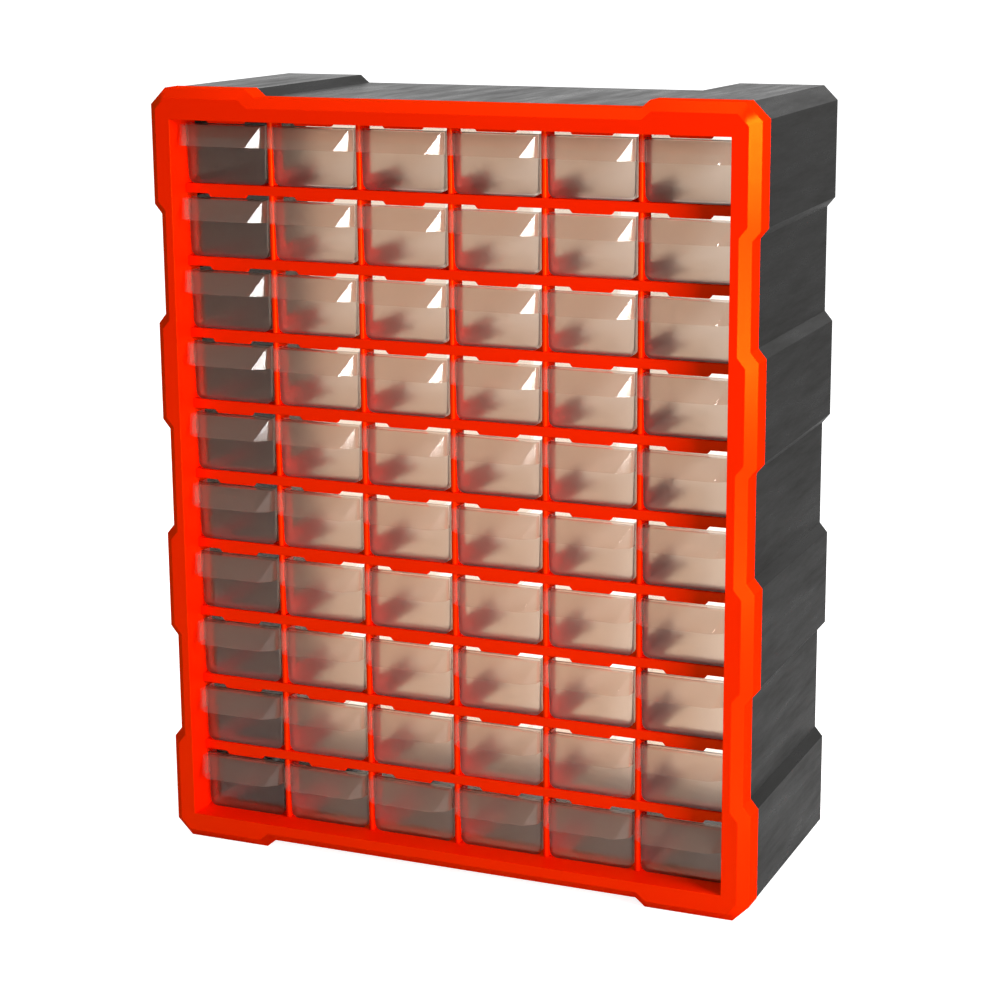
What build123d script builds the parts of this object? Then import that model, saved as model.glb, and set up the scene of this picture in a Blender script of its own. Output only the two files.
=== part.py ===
from build123d import *
from math import sqrt, tan, radians
import os

# Parts cabinet with ten rows of six small clear drawers. Millimetres, +Z up, front towards -Y.
# Origin: centre of the footprint, on the surface that the cabinet stands on.

# ------------------------------------------------------------------ driving dimensions
# The whole cabinet
cabinet_width = 380.0
cabinet_depth = 162.0
cabinet_height = 472.0
corner_chamfer = 10.0          # cut across each outer corner, seen from the front
step_depth = 4.8               # how far the stepped outline goes in
step_slope = 5.8               # length of the slope between two steps
block_width = 64.2             # raised blocks on top and the feet, in from each side
step_centre_drop = 2.2         # the side steps are even about a height this far below the middle
step_shares = (0.0644, 0.2032, 0.3449)   # where each slope starts, as shares of the height from there

# Front frame: hollow rim round the drawers
frame_side_depth = 20.6        # depth of the rim's outer wall
rim_bevel = 5.9                # bevel round the rim's front edge
rim_wall = 2.2                 # outer wall and skin of the rim
inner_wall = 2.0               # wall round the drawer opening
side_border = 15.6             # rim beside, under and over the drawer opening
bottom_border = 17.0
top_border = 18.4

# Front frame: grid that the drawers slide in
columns = 6
rows = 10
bottom_row_group = 3           # drawers to a node in the bottom row
grid_side_reach = 0.5          # the outer columns reach this far into the walls beside the opening
grid_top_reach = 4.9           # and the top row this far into the wall above it
grid_recess = 16.4             # grid's front behind the rim's front
grid_depth = 14.0
divider_thickness = 3.3
post_depth = 7.0               # each divider is unbroken from bottom to top between the bars and this depth
bar_height = 5.8
bar_thickness = 2.5
shelf_thickness = 2.0
stop_tab_width_top = 26.8      # tab under each bar that the drawer's back catches on
stop_tab_width_bottom = 23.4
stop_tab_drop = 2.1
runner_length = 60.0           # ledges go back from the grid's front
runner_width = 8.0             # of ledge under each lower edge of a drawer
guide_height = 8.0             # fin between two neighbouring drawers
guide_thickness = 1.6

# Rear housing: sleeve with an open back
housing_inset = 0.6            # below the frame's outer face, at the front
housing_draft = 2.5            # how far it has tapered in at the back
housing_wall = 2.6
tongue_inset = 2.5             # rim that plugs into the front frame
tongue_wall = 1.8
tongue_reach = 7.0
tongue_root = 4.0
back_thickness = 2.5
back_border = 15.0             # flange round the open back
back_top_border = 27.0         # deeper at the top, where it hangs from the wall
groove_from_side = 37.0        # score line along each raised block on top
groove_width = 1.2
groove_depth = 0.7

# Keyholes for hanging the cabinet
keyhole_from_side = 64.0
keyhole_head_radius = 5.0
keyhole_slot_radius = 2.4
keyhole_slot_rise = 9.0
keyhole_head_below_top = 22.0

# Screws that hold the frame to the housing
screw_beyond_step = 29.4       # outer screws past the last slope; the inner ones are midway between two
screw_boss_radius = 3.5
screw_boss_end = 24.0          # boss's rear end, behind the rim's front
screw_pilot_radius = 1.6
screw_pilot_depth = 13.0
screw_shank_radius = 1.5
screw_shank_length = 14.0
screw_head_radius = 3.2
screw_head_height = 2.4
screw_recess_radius = 1.1
screw_recess_depth = 1.2
screw_hole_radius = 1.8
ear_thickness = 3.0
ear_height = 11.0
ear_gap = 0.7                  # between an ear and the wall round the opening

# Drawers
drawer_side_gap = 2.05         # from the middle of each upright, at the drawer's top
drawer_lean = 0.8              # each side leans in this much towards the floor
drawer_top_gap = 2.55          # under the bar above
drawer_back_gap = 10.3         # in front of the housing's back
drawer_wall = 1.3
drawer_floor = 1.4
drawer_corner_radius = 4.5     # along both lower edges
drawer_setback = 0.8           # front wall behind the grid's front
drawer_lift = 0.3              # clearance over the ledges
drawer_back_wall = 1.6
catch_width = 19.0             # raised middle of the back wall
catch_height = 1.7
stop_clearance = 0.4

# Slots for a loose partition, at half length
slot_gap = 1.8
slot_rib_thickness = 0.9
slot_rib_depth = 1.2
slot_rib_below_top = 7.1
slot_floor_rib_length = 8.0
slot_floor_rib_height = 1.2

# Hood-shaped pull along the front wall's top edge
pull_reach_top = 7.4
pull_end_depth = 9.0
pull_reach_bottom = 15.8
pull_facet_width = 6.7
pull_height_front = 12.0
pull_height_back = 13.4
pull_wall = 1.2

# ------------------------------------------------------------------ derived places
block_half_width = cabinet_width / 2 - block_width
step_centre_z = cabinet_height / 2 - step_centre_drop
step_levels = [share * cabinet_height for share in step_shares]
opening_half_width = cabinet_width / 2 - side_border
opening_bottom_z = bottom_border
opening_height = cabinet_height - bottom_border - top_border
column_pitch = 2 * (opening_half_width + grid_side_reach) / columns
row_pitch = (opening_height + grid_top_reach) / rows
groove_x = cabinet_width / 2 - groove_from_side
keyhole_x = cabinet_width / 2 - keyhole_from_side
front_y = -cabinet_depth / 2
back_y = cabinet_depth / 2
grid_y = front_y + grid_recess
rim_back_y = front_y + frame_side_depth
grid_back_y = grid_y + grid_depth
post_back_y = grid_y + post_depth
runner_back_y = grid_y + runner_length
back_inside_y = back_y - back_thickness
opening_top_z = opening_bottom_z + opening_height
drawer_width_top = column_pitch - 2 * drawer_side_gap
drawer_width_bottom = drawer_width_top - 2 * drawer_lean
drawer_height = row_pitch - bar_height - drawer_top_gap - drawer_lift
drawer_front_y = grid_y + drawer_setback
drawer_back_y = back_inside_y - drawer_back_gap
catch_front_y = drawer_back_y - drawer_back_wall
tab_back_y = grid_y + bar_thickness
drawer_travel = catch_front_y - tab_back_y - stop_clearance
tongue_inner_x = cabinet_width / 2 - tongue_inset - tongue_wall
screw_x = (opening_half_width + inner_wall + tongue_inner_x) / 2
ear_front_y = front_y + screw_boss_end
ear_back_y = ear_front_y + ear_thickness
half_turn_offset = tan(radians(22.5))   # sideways shift of a 45 degree corner per mm of inset


def column_x(column):
    return (column - (columns - 1) / 2) * column_pitch


def floor_z(level):
    """Upper face of the ledges, level 0 at the bottom."""
    return opening_bottom_z + level * row_pitch


def upright(y):
    """Plane across the cabinet at a depth y: sketch x is X and sketch y is Z."""
    return Plane(origin=(0, y, 0), x_dir=(1, 0, 0), z_dir=(0, -1, 0))


def outline_face(y, inset, bottom_inset):
    """The cabinet's stepped outline at depth y, all edges moved in by inset."""
    wide = cabinet_width / 2 - inset
    narrow = wide - step_depth
    shift = inset * half_turn_offset
    corner = corner_chamfer - (2 - sqrt(2)) * inset
    top = cabinet_height - inset
    bottom = bottom_inset
    inner, middle, outer = step_levels
    # height above the centre, with half width, of the slopes in the upper half of a side
    slopes = (
        (inner + shift, narrow), (inner + step_slope + shift, wide),
        (middle - shift, wide), (middle + step_slope - shift, narrow),
        (outer + shift, narrow), (outer + step_slope + shift, wide),
    )
    side = [(width, step_centre_z - up) for up, width in reversed(slopes)]
    side += [(width, step_centre_z + up) for up, width in slopes]
    block_edge = block_half_width + shift
    half = [
        (block_edge - step_slope, bottom + step_depth), (block_edge, bottom),
        (wide - corner, bottom), (wide, bottom + corner),
        *side,
        (wide, top - corner), (wide - corner, top),
        (block_edge, top), (block_edge - step_slope, top - step_depth),
    ]
    mirrored = [(-x, z) for x, z in reversed(half)]
    return upright(y) * Polygon(*half, *mirrored, align=None)


def prism(y_from, y_to, inset, bottom_inset):
    return extrude(outline_face(y_from, inset, bottom_inset), amount=y_to - y_from, dir=(0, 1, 0))


def tapered_prism(y_from, y_to, inset_from, inset_to, bottom_from, bottom_to):
    ends = [outline_face(y_from, inset_from, bottom_from), outline_face(y_to, inset_to, bottom_to)]
    return loft(ends, ruled=True)


def block(x_from, x_to, y_from, y_to, z_from, z_to):
    size = (x_to - x_from, y_to - y_from, z_to - z_from)
    return Pos(x_from, y_from, z_from) * Box(*size, align=(Align.MIN, Align.MIN, Align.MIN))


def rod(x, z, y_from, y_to, radius):
    """Round bar or hole along Y."""
    return extrude(upright(y_from) * (Pos(x, z) * Circle(radius)), amount=y_to - y_from, dir=(0, 1, 0))


def opening_block(y_from, y_to, margin):
    return block(
        -opening_half_width - margin, opening_half_width + margin, y_from, y_to,
        opening_bottom_z - margin, opening_top_z + margin,
    )


def screw_places():
    """Two screws above and two below the steps' centre, on each side, where the outline is widest."""
    inner, middle, outer = step_levels
    distances = ((inner + step_slope + middle) / 2, outer + step_slope + screw_beyond_step)
    heights = [step_centre_z + way * distance for way in (-1, 1) for distance in distances]
    return [(side * screw_x, z) for side in (-1, 1) for z in heights]


# ------------------------------------------------------------------ front frame
def rim():
    """Bevelled rim, hollow from behind, with a boss for each screw."""
    bevel_y = front_y + rim_bevel
    body = tapered_prism(front_y, bevel_y, rim_bevel, 0, rim_bevel, 0) + prism(bevel_y, rim_back_y, 0, 0)
    skin_y = front_y + rim_wall
    shallow_inset = rim_bevel + rim_wall
    core = opening_block(skin_y, rim_back_y, inner_wall)
    body -= prism(skin_y, bevel_y, shallow_inset, shallow_inset) - core
    body -= prism(bevel_y, rim_back_y, rim_wall, rim_wall) - core
    bosses = [rod(x, z, skin_y, ear_front_y, screw_boss_radius) for x, z in screw_places()]
    walls = opening_block(skin_y, grid_back_y, inner_wall)
    body = body + [walls, *bosses]
    pilot_y = ear_front_y - screw_pilot_depth
    pilots = [rod(x, z, pilot_y, ear_front_y, screw_pilot_radius) for x, z in screw_places()]
    return body - [opening_block(front_y, grid_back_y, 0), *pilots]


def front_frame():
    """The rim with the top row's stop bar and the bottom row's ledges."""
    return rim() + [stop_bar(rows), *ledges(0)]


# ------------------------------------------------------------------ grid that the drawers slide in
def divider_places():
    return [(column_x(column) + column_x(column + 1)) / 2 for column in range(columns - 1)]


def stop_bar(level):
    """Front bar under one row's ledges, with a stop tab over each drawer of the row below."""
    low = floor_z(level) - bar_height
    high = min(floor_z(level), opening_top_z + inner_wall)
    tab = low - stop_tab_drop
    reach = opening_half_width
    points = [(-reach, high), (-reach, low)]
    for column in range(columns):
        x = column_x(column)
        points += [(x - stop_tab_width_top / 2, low), (x - stop_tab_width_bottom / 2, tab)]
        points += [(x + stop_tab_width_bottom / 2, tab), (x + stop_tab_width_top / 2, low)]
    points += [(reach, low), (reach, high)]
    return extrude(upright(grid_y) * Polygon(*points, align=None), amount=bar_thickness, dir=(0, 1, 0))


def ledges(level):
    """What the drawers of one row run on: a ledge under each divider, and one on each outer wall."""
    z = floor_z(level)
    low = z - shelf_thickness
    half = divider_thickness / 2 + runner_width
    made = [block(x - half, x + half, grid_y, runner_back_y, low, z) for x in divider_places()]
    inner_x = column_pitch * columns / 2 - half
    outer_x = opening_half_width + inner_wall
    for side in (-1, 1):
        span = sorted((side * inner_x, side * opening_half_width))
        made.append(block(*span, grid_y, grid_back_y, low, z))
        span = sorted((side * inner_x, side * outer_x))
        made.append(block(*span, grid_back_y, runner_back_y, low, z))
    return made


def divider(x, back):
    """Upright between two columns, its front edge round."""
    radius = divider_thickness / 2
    plan = Pos(x, grid_y + radius) * Circle(radius)
    plan += Pos(x, (grid_y + radius + back) / 2) * Rectangle(divider_thickness, back - grid_y - radius)
    return extrude(Pos(0, 0, opening_bottom_z) * plan, amount=opening_height)


def deck(level):
    """One level of the grid: bar, shelf and ledges, slotted behind the bar where the dividers pass."""
    reach = opening_half_width
    half = divider_thickness / 2
    z = floor_z(level)
    low = z - shelf_thickness
    whole = stop_bar(level) + [block(-reach, reach, grid_y, grid_back_y, low, z), *ledges(level)]
    return whole - [block(x - half, x + half, tab_back_y, post_back_y, low, z) for x in divider_places()]


def divider_wall(x):
    """One divider with a guide fin over each ledge, slotted where the decks pass."""
    half = divider_thickness / 2
    fin_half = guide_thickness / 2
    fins = []
    slots = []
    for level in range(rows):
        z = floor_z(level)
        fins.append(block(x - fin_half, x + fin_half, grid_back_y, runner_back_y, z, z + guide_height))
        slots.append(block(x - half, x + half, post_back_y, grid_back_y, z - shelf_thickness, z))
    for level in range(1, rows + 1):
        z = floor_z(level)
        slots.append(block(x - half, x + half, grid_y, tab_back_y, z - bar_height, z))
    return divider(x, grid_back_y) + fins - slots


# ------------------------------------------------------------------ rear housing
def keyhole(x):
    head_z = cabinet_height - keyhole_head_below_top
    slot_z = head_z + keyhole_slot_rise
    slot = block(x - keyhole_slot_radius, x + keyhole_slot_radius, back_inside_y, back_y, head_z, slot_z)
    head = rod(x, head_z, back_inside_y, back_y, keyhole_head_radius)
    return [head, slot, rod(x, slot_z, back_inside_y, back_y, keyhole_slot_radius)]


def ear(x, z):
    """Lug on the housing's side wall that a screw goes through."""
    side = 1 if x > 0 else -1
    inner_x = side * (opening_half_width + inner_wall + ear_gap)
    wall_x = side * (cabinet_width / 2 - housing_inset - housing_wall / 2)
    return block(*sorted((inner_x, wall_x)), ear_front_y, ear_back_y, z - ear_height / 2, z + ear_height / 2)


def groove(x):
    """Score line in a raised block, as deep at the back as at the front."""
    depth_in = housing_inset + groove_depth
    ends = []
    for y, top in ((rim_back_y, cabinet_height - depth_in), (back_y, cabinet_height - depth_in
                                                             - housing_draft + housing_inset)):
        corners = [(x - groove_width / 2, top + step_depth), (x + groove_width / 2, top + step_depth), (x, top)]
        ends.append(upright(y) * Polygon(*corners, align=None))
    return loft(ends, ruled=True)


def rear_housing():
    """Tapered sleeve: outside, tongue into the rim, hollow inside, window in the back."""
    outside = tapered_prism(rim_back_y, back_y, housing_inset, housing_draft, 0, 0)
    wall_front = housing_inset + housing_wall
    wall_back = housing_draft + housing_wall
    hollow = tapered_prism(rim_back_y, back_inside_y, wall_front, wall_back, housing_wall, housing_wall)
    tongue_back_y = rim_back_y + tongue_root
    tongue_front_y = rim_back_y - tongue_reach
    tongue_inner = tongue_inset + tongue_wall
    tongue = prism(tongue_front_y, tongue_back_y, tongue_inset, tongue_inset)
    tongue -= prism(tongue_front_y, tongue_back_y, tongue_inner, tongue_inner)
    window_x = cabinet_width / 2 - step_depth - housing_draft - back_border
    window = block(
        -window_x, window_x, back_inside_y, back_y,
        step_depth + back_border, cabinet_height - housing_draft - step_depth - back_top_border,
    )
    body = outside - hollow - window + tongue
    body += [ear(x, z) for x, z in screw_places()]
    cuts = [rod(x, z, ear_front_y, ear_back_y, screw_hole_radius) for x, z in screw_places()]
    for side in (-1, 1):
        cuts += keyhole(side * keyhole_x)
        cuts.append(groove(side * groove_x))
    return body - cuts


# ------------------------------------------------------------------ screws
def frame_screw(x, z):
    """Pan-head self-tapping screw, driven forwards from inside the housing."""
    shank = rod(x, z, ear_back_y - screw_shank_length, ear_back_y, screw_shank_radius)
    head = rod(x, z, ear_back_y, ear_back_y + screw_head_height, screw_head_radius)
    recess_y = ear_back_y + screw_head_height - screw_recess_depth
    recess = rod(x, z, recess_y, ear_back_y + screw_head_height, screw_recess_radius)
    return shank + head - recess


# ------------------------------------------------------------------ drawer
def drawer_section(wall, floor):
    """Cross-section of the box: sides lean out, lower corners round."""
    low = drawer_width_bottom / 2 - wall
    high = drawer_width_top / 2 - wall
    corners = [(-low, floor), (low, floor), (high, drawer_height), (-high, drawer_height)]
    face = Polygon(*corners, align=None)
    lower = face.vertices().group_by(Axis.Y)[0]
    return fillet(lower, drawer_corner_radius - wall)


def drawer_prism(y_from, y_to, wall, floor):
    return extrude(upright(y_from) * drawer_section(wall, floor), amount=y_to - y_from, dir=(0, 1, 0))


def pull_block(inset):
    """The pull's outer form, or its hollow when inset is the wall: a wedge with faceted front corners."""
    slope = (pull_reach_bottom - pull_reach_top) / pull_height_front
    top = drawer_height - inset
    low_front = drawer_height - pull_height_front - inset
    low_back = drawer_height - pull_height_back - inset
    front_top = drawer_front_y - pull_reach_top - slope * inset + inset * sqrt(1 + slope ** 2)
    front_bottom = front_top - slope * (top - low_front)
    profile = [(drawer_front_y, top), (front_top, top), (front_bottom, low_front), (drawer_front_y, low_back)]
    half = drawer_width_top / 2
    across = Plane(origin=(inset - half, 0, 0), x_dir=(0, 1, 0), z_dir=(1, 0, 0))
    wedge = extrude(across * Polygon(*profile, align=None), amount=2 * (half - inset), dir=(1, 0, 0))
    lip_z = drawer_height - pull_height_front
    for side in (-1, 1):
        corner = Vector(side * half, drawer_front_y - pull_reach_top, drawer_height)
        heel = Vector(side * half, drawer_front_y - pull_end_depth, lip_z)
        toe = Vector(side * (half - pull_facet_width), drawer_front_y - pull_reach_bottom, lip_z)
        outward = (heel - corner).cross(toe - corner).normalized()
        if outward.Y > 0:
            outward = -outward
        facet = Plane(origin=corner - outward * inset, z_dir=outward)
        wedge = split(wedge, bisect_by=facet, keep=Keep.BOTTOM)
    return wedge


def slot_ribs():
    """Two pairs of ribs, up the sides and in along the floor, that hold a loose partition at half length."""
    middle_y = (drawer_front_y + drawer_back_y) / 2
    half = drawer_width_top / 2
    rib_inner = drawer_width_bottom / 2 - drawer_wall - slot_rib_depth
    floor_inner = rib_inner - slot_floor_rib_length
    ribs = []
    for way in (-1, 1):
        near = middle_y + way * slot_gap / 2
        low_y, high_y = sorted((near, near + way * slot_rib_thickness))
        rib = drawer_prism(low_y, high_y, drawer_wall / 2, drawer_floor / 2)
        rib -= block(-floor_inner, floor_inner, low_y, high_y, 0, drawer_height)
        rib -= block(-rib_inner, rib_inner, low_y, high_y, drawer_floor + slot_floor_rib_height, drawer_height)
        rib -= block(-half, half, low_y, high_y, drawer_height - slot_rib_below_top, drawer_height)
        ribs.append(rib)
    return ribs


def drawer():
    """One open-top drawer in the middle of the cabinet, its underside at Z = 0."""
    box = drawer_prism(drawer_front_y, drawer_back_y, 0, 0)
    box -= drawer_prism(drawer_front_y + drawer_wall, catch_front_y, drawer_wall, drawer_floor)
    catch_low = drawer_height - catch_height
    catch_high = drawer_height + catch_height
    catch = block(-catch_width / 2, catch_width / 2, catch_front_y, drawer_back_y, catch_low, catch_high)
    pull = pull_block(0) - pull_block(pull_wall)
    return box + [catch, pull, *slot_ribs()]


# ------------------------------------------------------------------ build and write
def drawer_places():
    """Node name and places of its drawers: one node each, and two nodes of three in the bottom row."""
    places = {}
    for row in range(1, rows + 1):
        z = floor_z(rows - row) + drawer_lift
        for column in range(columns):
            name = f"drawer_row{row:02d}_column{column + 1}"
            if row == rows:
                first = column - column % bottom_row_group
                name = f"drawers_row{row:02d}_columns{first + 1}_{first + bottom_row_group}"
            places.setdefault(name, []).append((column_x(column), 0, z))
    return places


def write(name, solids):
    shape = solids[0] if len(solids) == 1 else Compound(children=solids)
    export_step(shape, f"parts/{name}.step")


os.makedirs("parts", exist_ok=True)
write("front_frame", [front_frame()])
write("drawer_grid", [deck(level) for level in range(1, rows)] + [divider_wall(x) for x in divider_places()])
write("rear_housing", [rear_housing()])
write("frame_screws", [frame_screw(x, z) for x, z in screw_places()])
one_drawer = drawer()
for drawer_name, spots in drawer_places().items():
    write(drawer_name, [Pos(*spot) * one_drawer for spot in spots])
print(f"Each drawer slides out by {drawer_travel:.1f} mm.")
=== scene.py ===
import math

import bpy
from mathutils import Matrix, Vector

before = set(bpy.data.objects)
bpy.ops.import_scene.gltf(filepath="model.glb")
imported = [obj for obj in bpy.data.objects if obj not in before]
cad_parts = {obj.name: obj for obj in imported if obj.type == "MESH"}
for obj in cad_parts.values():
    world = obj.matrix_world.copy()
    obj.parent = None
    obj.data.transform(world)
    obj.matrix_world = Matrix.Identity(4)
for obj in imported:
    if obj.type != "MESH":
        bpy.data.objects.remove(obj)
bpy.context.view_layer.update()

MM = 0.001

# ------------------------------------------------------------------ camera, as the photograph was taken
SENSOR_MM = 36
LENS_MM = 90.46
SHIFT = (0.04, -0.01)
CAMERA_PLACE = (0.5947, -1.3809, 0.5869)
CAMERA_AZIMUTH, CAMERA_ELEVATION, CAMERA_ROLL = (math.radians(a) for a in (24.141, 13.531, -0.623))


def make_camera():
    data = bpy.data.cameras.new("camera")
    data.sensor_width = SENSOR_MM
    data.lens = LENS_MM
    data.shift_x, data.shift_y = SHIFT
    camera = bpy.data.objects.new("camera", data)
    bpy.context.scene.collection.objects.link(camera)
    ahead = Vector((
        -math.sin(CAMERA_AZIMUTH) * math.cos(CAMERA_ELEVATION),
        math.cos(CAMERA_AZIMUTH) * math.cos(CAMERA_ELEVATION),
        -math.sin(CAMERA_ELEVATION),
    ))
    level = Vector((math.cos(CAMERA_AZIMUTH), math.sin(CAMERA_AZIMUTH), 0))
    up = level.cross(ahead)
    right = level * math.cos(CAMERA_ROLL) + up * math.sin(CAMERA_ROLL)
    up = up * math.cos(CAMERA_ROLL) - level * math.sin(CAMERA_ROLL)
    turn = Matrix((right, up, -ahead)).transposed().to_4x4()
    camera.matrix_world = Matrix.Translation(CAMERA_PLACE) @ turn
    bpy.context.scene.camera = camera


# ------------------------------------------------------------------ node helpers
def colour(hex_text):
    """Linear colour of an sRGB hex value."""
    parts = [int(hex_text[i:i + 2], 16) / 255 for i in (1, 3, 5)]
    return tuple(c / 12.92 if c <= 0.04045 else ((c + 0.055) / 1.055) ** 2.4 for c in parts) + (1,)


def add(tree, kind, inputs=None, **settings):
    """Adds a node; inputs maps a socket's name or number to a value, or to the socket it is linked from."""
    node = tree.nodes.new(kind)
    for name, value in settings.items():
        setattr(node, name, value)
    for key, value in (inputs or {}).items():
        socket = node.inputs[key]
        if isinstance(value, bpy.types.NodeSocket):
            tree.links.new(value, socket)
        else:
            socket.default_value = value
    return node


def new_material(name):
    material = bpy.data.materials.new(name)
    material.use_nodes = True
    material.node_tree.nodes.clear()
    return material, material.node_tree


def per_mm(size_mm):
    """Texture scale whose pattern repeats about every size_mm, on coordinates in metres."""
    return 1 / (size_mm * MM)


# ------------------------------------------------------------------ materials
def abs_moulded_orange():
    """ABS, injection moulded against a satin tool: saturated orange-red with soft amber highlights,
    a faint ripple in them, and slightly yellower flow marks where the melt met."""
    shine_share = 0.045
    material, tree = new_material("abs_moulded_orange")
    place = add(tree, "ShaderNodeTexCoord").outputs["Object"]
    flow = add(tree, "ShaderNodeTexNoise", {
        "Vector": place, "Scale": per_mm(60), "Detail": 3.0, "Roughness": 0.5})
    tint = add(tree, "ShaderNodeMix", {
        "Factor": flow.outputs["Fac"], "A": colour("#E61200"), "B": colour("#F01600")}, data_type="RGBA")
    ripple = add(tree, "ShaderNodeTexNoise", {"Vector": place, "Scale": per_mm(5), "Detail": 2.0})
    gloss = add(tree, "ShaderNodeMapRange", {"Value": ripple.outputs["Fac"], "To Min": 0.34, "To Max": 0.44})
    bump = add(tree, "ShaderNodeBump", {
        "Height": ripple.outputs["Fac"], "Distance": 0.04 * MM, "Strength": 0.5})
    body = add(tree, "ShaderNodeBsdfPrincipled", {
        "Base Color": tint.outputs["Result"], "Roughness": gloss.outputs["Result"], "IOR": 1.54,
        "Specular IOR Level": 0.0, "Normal": bump.outputs["Normal"]})
    shine = add(tree, "ShaderNodeBsdfGlossy", {
        "Color": colour("#FFBC21"), "Roughness": gloss.outputs["Result"], "Normal": bump.outputs["Normal"]})
    surface = add(tree, "ShaderNodeMixShader", {
        0: shine_share, 1: body.outputs["BSDF"], 2: shine.outputs["BSDF"]})
    add(tree, "ShaderNodeOutputMaterial", {"Surface": surface.outputs["Shader"]})
    return material


def abs_textured_black():
    """ABS, moulded against a spark-eroded tool: charcoal, a matt grain that greys where light grazes it,
    and long drag marks from the tool along the depth, some paler and some shinier. The real grain, about
    0.2 mm, is too fine to show, so it is drawn at 0.8 mm."""
    drag_stretch = (1.0, 0.12, 1.0)
    material, tree = new_material("abs_textured_black")
    place = add(tree, "ShaderNodeTexCoord").outputs["Object"]
    stretched = add(tree, "ShaderNodeMapping", {"Vector": place, "Scale": drag_stretch})
    drag = add(tree, "ShaderNodeTexNoise", {
        "Vector": stretched.outputs["Vector"], "Scale": per_mm(11), "Detail": 5.0, "Roughness": 0.7})
    tint = add(tree, "ShaderNodeMix", {
        "Factor": drag.outputs["Fac"], "A": colour("#0A0A0A"), "B": colour("#161513")}, data_type="RGBA")
    gloss = add(tree, "ShaderNodeMapRange", {
        "Value": drag.outputs["Fac"], "From Min": 0.3, "From Max": 0.7, "To Min": 0.22, "To Max": 0.42})
    grain = add(tree, "ShaderNodeTexNoise", {"Vector": place, "Scale": per_mm(0.8), "Detail": 2.0})
    bump = add(tree, "ShaderNodeBump", {
        "Height": grain.outputs["Fac"], "Distance": 0.05 * MM, "Strength": 0.6})
    surface = add(tree, "ShaderNodeBsdfPrincipled", {
        "Base Color": tint.outputs["Result"], "Roughness": gloss.outputs["Result"], "IOR": 1.5,
        "Specular IOR Level": 0.06, "Normal": bump.outputs["Normal"]})
    add(tree, "ShaderNodeOutputMaterial", {"Surface": surface.outputs["BSDF"]})
    return material


# along Y on a shut drawer, in mm: it is front wall or pull ahead of the first value, neither behind the second,
# and what is ahead of the pull's values is pull alone
FRONT_WALL_Y_MM = (-60.5, -58.5)
PULL_Y_MM = (-64.6, -64.0)


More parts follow.
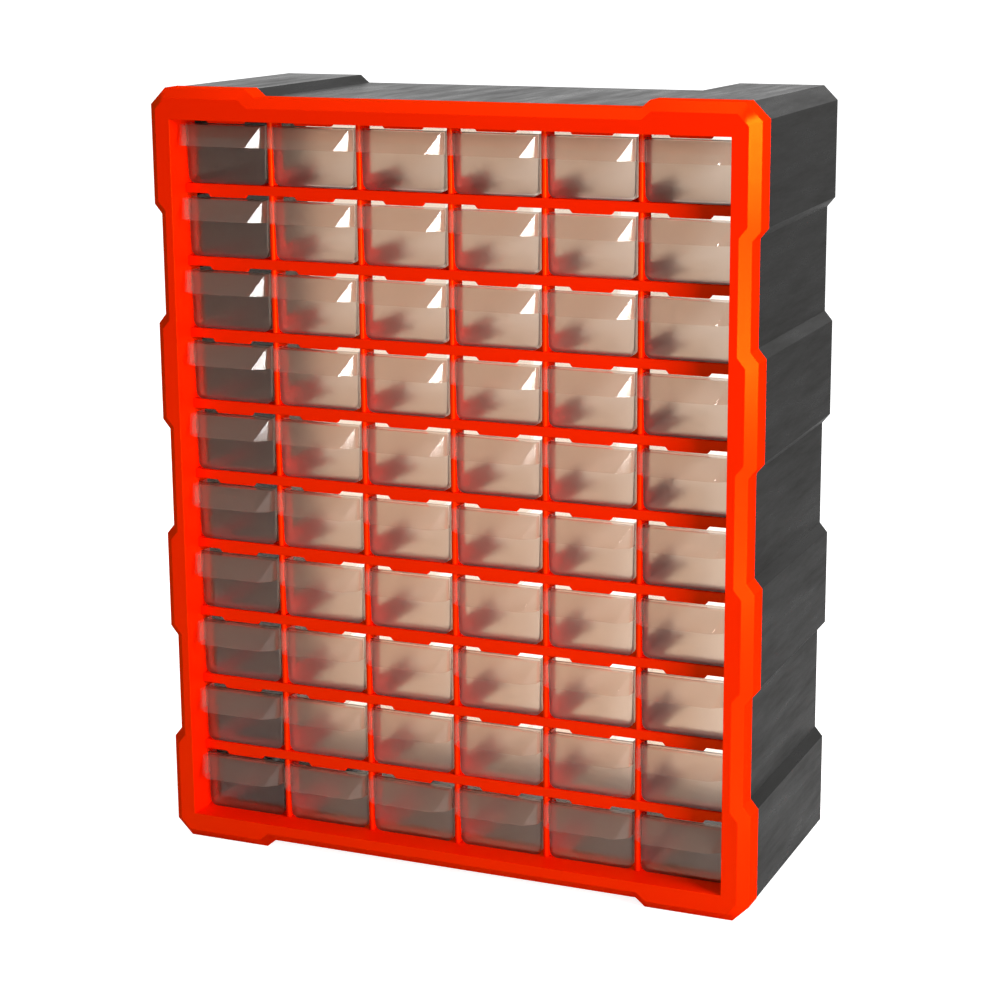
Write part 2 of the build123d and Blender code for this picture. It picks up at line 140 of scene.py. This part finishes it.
def polypropylene_natural():
    """Natural polypropylene, moulded thin: clear warm-tinted walls that build up to beige where many overlap,
    a frosted front wall, haze whose orange-brown is partly painted bounce light from the frame, a pull painted
    paler than the wall as a painted reflection of the room, and a shine on the flat facets."""
    clear_milk, scattered_on = 0.02, 0.5
    material, tree = new_material("polypropylene_natural")
    place = add(tree, "ShaderNodeTexCoord").outputs["Object"]
    depth = add(tree, "ShaderNodeSeparateXYZ", {0: place}).outputs["Y"]
    front, pull = (add(tree, "ShaderNodeMapRange", {
        "Value": depth, "From Min": ahead * MM, "From Max": behind * MM, "To Min": 1.0, "To Max": 0.0,
    }).outputs["Result"] for ahead, behind in (FRONT_WALL_Y_MM, PULL_Y_MM))
    flow = add(tree, "ShaderNodeTexNoise", {"Vector": place, "Scale": per_mm(18), "Detail": 2.0})
    streak = add(tree, "ShaderNodeMapRange", {"Value": flow.outputs["Fac"], "To Min": 0.05, "To Max": 0.10})
    milkiness = add(tree, "ShaderNodeMix", {
        "Factor": front, "A": clear_milk, "B": streak.outputs["Result"]}, data_type="FLOAT")
    wall_tint = add(tree, "ShaderNodeMix", {
        "Factor": front, "A": colour("#FEFAF6"), "B": colour("#E9E0D8")}, data_type="RGBA")
    # see-through tint: lighter on the pull than on the front wall, painted paler there, a painted reflection of
    # the room
    tint = add(tree, "ShaderNodeMix", {
        "Factor": pull, "A": wall_tint.outputs["Result"], "B": colour("#FDF8F4")}, data_type="RGBA")
    # haze colour: partly a warm milk, and partly painted light, the orange bounce from the frame painted into
    # it as orange-brown; on the pull it is painted paler, a painted reflection of the room
    milk_tint_with_painted_light = add(tree, "ShaderNodeMix", {
        "Factor": pull, "A": colour("#A87A6C"), "B": colour("#D8BCAC")}, data_type="RGBA")

    # milk: scattered back and on, in equal shares
    back = add(tree, "ShaderNodeBsdfDiffuse", {"Color": milk_tint_with_painted_light.outputs["Result"]})
    on = add(tree, "ShaderNodeBsdfTranslucent", {"Color": milk_tint_with_painted_light.outputs["Result"]})
    milk = add(tree, "ShaderNodeMixShader", {0: scattered_on, 1: back.outputs["BSDF"], 2: on.outputs["BSDF"]})

    # clear: straight through, and blurred in the frosted front wall, but not for light on its way in
    straight = add(tree, "ShaderNodeBsdfTransparent", {"Color": tint.outputs["Result"]})
    blurred = add(tree, "ShaderNodeBsdfRefraction", {
        "Color": tint.outputs["Result"], "Roughness": 0.5, "IOR": 1.13}, distribution="GGX")
    frosted = add(tree, "ShaderNodeMath", {0: front, 1: pull}, operation="SUBTRACT")
    shadow = add(tree, "ShaderNodeLightPath").outputs["Is Shadow Ray"]
    seen = add(tree, "ShaderNodeMath", {0: 1.0, 1: shadow}, operation="SUBTRACT")
    blur = add(tree, "ShaderNodeMath", {0: frosted.outputs[0], 1: seen.outputs[0]}, operation="MULTIPLY")
    clear = add(tree, "ShaderNodeMixShader", {
        0: blur.outputs[0], 1: straight.outputs["BSDF"], 2: blurred.outputs["BSDF"]})
    wall = add(tree, "ShaderNodeMixShader", {
        0: milkiness.outputs["Result"], 1: clear.outputs["Shader"], 2: milk.outputs["Shader"]})

    # shine where a ray enters only: the walls are drawn without bending it, so none is caught inside
    shine = add(tree, "ShaderNodeBsdfGlossy", {"Color": colour("#FFFFFF"), "Roughness": 0.12})
    grazing = add(tree, "ShaderNodeFresnel", {"IOR": 1.5})
    inside = add(tree, "ShaderNodeNewGeometry").outputs["Backfacing"]
    outside = add(tree, "ShaderNodeMath", {0: 1.0, 1: inside}, operation="SUBTRACT")
    gloss = add(tree, "ShaderNodeMath", {
        0: grazing.outputs["Fac"], 1: outside.outputs[0]}, operation="MULTIPLY")
    surface = add(tree, "ShaderNodeMixShader", {
        0: gloss.outputs[0], 1: wall.outputs["Shader"], 2: shine.outputs["BSDF"]})
    add(tree, "ShaderNodeOutputMaterial", {"Surface": surface.outputs["Shader"]})
    return material


def steel_zinc_plated():
    """Carbon steel screws, barrel-plated in zinc: a soft bluish white shine with fine tumbling marks,
    drawn at 0.6 mm, because the real ones are too fine to show."""
    material, tree = new_material("steel_zinc_plated")
    place = add(tree, "ShaderNodeTexCoord").outputs["Object"]
    marks = add(tree, "ShaderNodeTexNoise", {"Vector": place, "Scale": per_mm(0.6), "Detail": 3.0})
    gloss = add(tree, "ShaderNodeMapRange", {"Value": marks.outputs["Fac"], "To Min": 0.25, "To Max": 0.45})
    surface = add(tree, "ShaderNodeBsdfPrincipled", {
        "Base Color": colour("#C8CCD2"), "Metallic": 1.0, "Roughness": gloss.outputs["Result"]})
    add(tree, "ShaderNodeOutputMaterial", {"Surface": surface.outputs["BSDF"]})
    return material


def studio_floor():
    """Matt white sweep: seen, it glows to plain white and keeps a trace of the object's shadow."""
    mirrored_share = 0.1
    material, tree = new_material("studio_floor")
    path = add(tree, "ShaderNodeLightPath")
    mirrored = add(tree, "ShaderNodeMath", {
        0: path.outputs["Is Glossy Ray"], 1: mirrored_share}, operation="MULTIPLY")
    direct = add(tree, "ShaderNodeMath", {
        0: path.outputs["Is Camera Ray"], 1: mirrored.outputs[0]}, operation="MAXIMUM")
    seen = add(tree, "ShaderNodeMath", {
        0: direct.outputs[0], 1: path.outputs["Is Transmission Ray"]}, operation="MAXIMUM")
    paint = add(tree, "ShaderNodeBsdfDiffuse", {"Color": colour("#D8D8D8")})
    glow = add(tree, "ShaderNodeEmission", {"Color": colour("#FFFFFF"), "Strength": 0.9})
    white = add(tree, "ShaderNodeAddShader", {0: paint.outputs["BSDF"], 1: glow.outputs["Emission"]})
    surface = add(tree, "ShaderNodeMixShader", {
        0: seen.outputs[0], 1: paint.outputs["BSDF"], 2: white.outputs["Shader"]})
    add(tree, "ShaderNodeOutputMaterial", {"Surface": surface.outputs["Shader"]})
    return material


# ------------------------------------------------------------------ pieces
WELD_MM = 0.001
FLAT_ANGLE = math.radians(1)
EDGE_ANGLE = math.radians(35)


def round_edges(node, width_mm, smooth):
    """Softens the CAD node's edges, as a moulded piece has no sharp ones, and keeps its flats flat."""
    weld = node.modifiers.new("weld", "WELD")
    weld.merge_threshold = WELD_MM * MM
    flat = node.modifiers.new("flat", "DECIMATE")
    flat.decimate_type = "DISSOLVE"
    flat.angle_limit = FLAT_ANGLE
    bevel = node.modifiers.new("round", "BEVEL")
    bevel.width = width_mm * MM
    bevel.segments = 2
    bevel.limit_method = "ANGLE"
    bevel.angle_limit = EDGE_ANGLE
    bevel.use_clamp_overlap = True
    even = node.modifiers.new("even", "WEIGHTED_NORMAL")
    even.keep_sharp = True
    for polygon in node.data.polygons:
        polygon.use_smooth = smooth


def dress(node, material, width_mm, smooth=True):
    node.data.materials.clear()
    node.data.materials.append(material)
    round_edges(node, width_mm, smooth)


def dress_cabinet():
    orange, black, clear, zinc = (
        abs_moulded_orange(), abs_textured_black(), polypropylene_natural(), steel_zinc_plated())
    for name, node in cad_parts.items():
        if name == "front_frame":
            dress(node, orange, width_mm=0.5)
        elif name == "drawer_grid":
            dress(node, orange, width_mm=0.5, smooth=False)  # smooth, its crossing walls would turn black
        elif name == "rear_housing":
            dress(node, black, width_mm=0.6)
        elif name == "frame_screws":
            dress(node, zinc, width_mm=0.2)
        else:
            dress(node, clear, width_mm=0.25)


# ------------------------------------------------------------------ floor, light, world, in metres and watts
def make_floor():
    half_side, drop = 12, 0.0005
    corners = [(x * half_side, y * half_side, 0) for x, y in ((-1, -1), (1, -1), (1, 1), (-1, 1))]
    mesh = bpy.data.meshes.new("studio_floor")
    mesh.from_pydata(corners, [], [(0, 1, 2, 3)])
    floor = bpy.data.objects.new("studio_floor", mesh)
    floor.data.materials.append(studio_floor())
    floor.location.z = -drop
    bpy.context.scene.collection.objects.link(floor)


def softbox(name, place, target, width, height, power, spread=180):
    data = bpy.data.lights.new(name, "AREA")
    data.shape = "RECTANGLE"
    data.size, data.size_y = width, height
    data.energy = power
    data.spread = math.radians(spread)
    light = bpy.data.objects.new(name, data)
    light.location = place
    light.rotation_euler = (Vector(target) - Vector(place)).to_track_quat("-Z", "Y").to_euler()
    bpy.context.scene.collection.objects.link(light)


def light_studio():
    softbox("key_right", place=(1.35, -0.62, 0.66), target=(0, 0, 0.4),
            width=0.6, height=0.9, power=8, spread=75)
    softbox("top", place=(0.1, 0.0, 1.8), target=(0, 0, 0.236), width=1.2, height=1.0, power=8)


def make_world():
    """White backdrop, seen and mirrored behind the cabinet; as light it is soft, and weak from the front."""
    front_y, behind_y = -0.3, 0.6
    front_light, behind_light = 0.25, 0.9
    world = bpy.data.worlds.new("studio")
    bpy.context.scene.world = world
    world.use_nodes = True
    tree = world.node_tree
    tree.nodes.clear()
    path = add(tree, "ShaderNodeLightPath")
    direction = add(tree, "ShaderNodeSeparateXYZ", {0: add(tree, "ShaderNodeTexCoord").outputs["Generated"]})
    strength, backdrop = (add(tree, "ShaderNodeMapRange", {
        "Value": direction.outputs["Y"], "From Min": front_y, "From Max": behind_y,
        "To Min": low, "To Max": high,
    }).outputs["Result"] for low, high in ((front_light, behind_light), (0.0, 1.0)))
    mirrored = add(tree, "ShaderNodeMath", {
        0: path.outputs["Is Glossy Ray"], 1: backdrop}, operation="MULTIPLY")
    direct = add(tree, "ShaderNodeMath", {
        0: path.outputs["Is Camera Ray"], 1: path.outputs["Is Transmission Ray"]}, operation="MAXIMUM")
    seen = add(tree, "ShaderNodeMath", {0: direct.outputs[0], 1: mirrored.outputs[0]}, operation="MAXIMUM")
    soft = add(tree, "ShaderNodeBackground", {"Color": colour("#FFFFFF"), "Strength": strength})
    white = add(tree, "ShaderNodeBackground", {"Color": colour("#FFFFFF"), "Strength": 1.0})
    sky = add(tree, "ShaderNodeMixShader", {
        0: seen.outputs[0], 1: soft.outputs["Background"], 2: white.outputs["Background"]})
    add(tree, "ShaderNodeOutputWorld", {"Surface": sky.outputs["Shader"]})


make_camera()
dress_cabinet()
make_floor()
light_studio()
make_world()

scene = bpy.context.scene
scene.view_settings.view_transform = "Standard"
# a ray through the drawers crosses many clear walls
scene.cycles.transparent_max_bounces = 32
scene.cycles.max_bounces = 8
scene.cycles.transmission_bounces = 8
